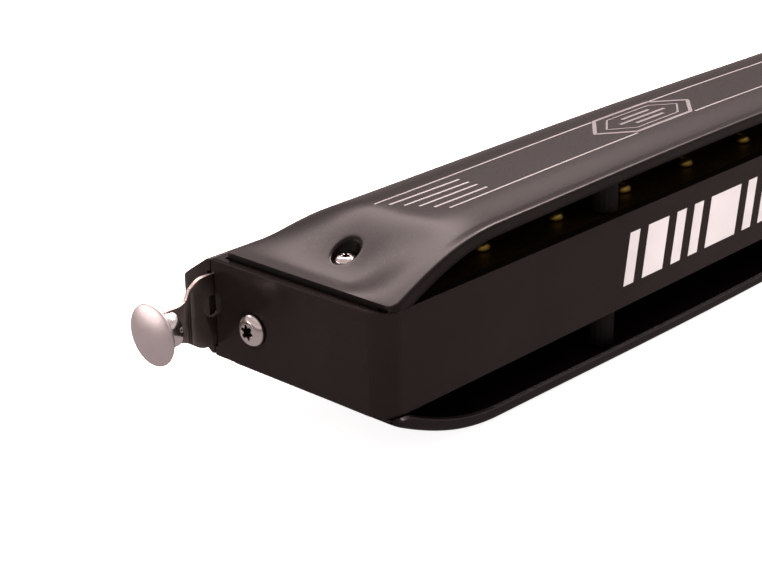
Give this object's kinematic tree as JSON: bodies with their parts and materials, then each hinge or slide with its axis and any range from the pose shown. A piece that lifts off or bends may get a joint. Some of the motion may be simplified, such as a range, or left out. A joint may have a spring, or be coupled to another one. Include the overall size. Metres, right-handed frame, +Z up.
{
  "type": "chromatic harmonica",
  "caption": "Chromatic harmonica with a closed body, two drawn metal covers, a rounded mouthpiece and a sprung slide worked by a round end button",
  "frame": {"origin": "under the middle of the bounding box, on the surface the harmonica stands on", "axes": "+X runs along the body toward the slide button at the player's right, -Y is the mouth side, +Y the open back, +Z is up with the low notes at -X"},
  "size_m": [0.2046, 0.051, 0.0362],
  "materials": {
    "body": "black moulded body, satin sheen",
    "covers": "satin black powder-coated drawn sheet",
    "mouthpiece": "black, satin",
    "posts": "black",
    "reed_plates": "rolled brass",
    "plate_screws": "turned brass",
    "sleeves": "turned brass",
    "screws": "bright nickel plate",
    "pocket_plates": "rolled nickel silver",
    "slide": "nickel-plated brass, slightly warm",
    "spring": "drawn steel wire",
    "button": "polished nickel plate",
    "button_hub": "polished nickel plate",
    "button_pin": "steel"
  },
  "bodies": {
    "body": {"comb": "body", "mouthpiece": "mouthpiece", "slide_backing_plate": "pocket_plates", "slide_cage": "pocket_plates", "slide_spring": "spring", "cover_upper": "covers", "reed_plate_upper": "reed_plates", "reed_plate_screw_upper_1": "plate_screws", "reed_plate_screw_upper_2": "plate_screws", "reed_plate_screw_upper_3": "plate_screws", "reed_plate_screw_upper_4": "plate_screws", "reed_plate_screw_upper_5": "plate_screws", "reed_plate_screw_upper_6": "plate_screws", "reed_plate_screw_upper_7": "plate_screws", "reed_plate_screw_upper_8": "plate_screws", "reed_plate_screw_upper_9": "plate_screws", "cover_screw_upper_right": "screws", "cover_post_upper_right": "posts", "cover_screw_upper_left": "screws", "cover_post_upper_left": "posts", "cover_lower": "covers", "reed_plate_lower": "reed_plates", "reed_plate_screw_lower_1": "plate_screws", "reed_plate_screw_lower_2": "plate_screws", "reed_plate_screw_lower_3": "plate_screws", "reed_plate_screw_lower_4": "plate_screws", "reed_plate_screw_lower_5": "plate_screws", "reed_plate_screw_lower_6": "plate_screws", "reed_plate_screw_lower_7": "plate_screws", "reed_plate_screw_lower_8": "plate_screws", "reed_plate_screw_lower_9": "plate_screws", "cover_screw_lower_right": "screws", "cover_post_lower_right": "posts", "cover_screw_lower_left": "screws", "cover_post_lower_left": "posts", "cover_sleeve_right": "sleeves", "end_screw_right": "screws", "mouthpiece_screw_right": "screws", "cover_sleeve_left": "sleeves", "end_screw_left": "screws", "mouthpiece_screw_left": "screws"},
    "slide": {"slide": "slide", "button": "button", "button_hub": "button_hub", "button_pin": "button_pin"}
  },
  "joints": [
    {"name": "slide_push", "type": "slide", "parent": "body", "child": "slide", "axis": [-1, 0, 0], "range_m": [0, 0.0048], "stiffness_N_per_m": 400, "springref_m": -0.002, "deforming": ["slide_spring"]}
  ]
}
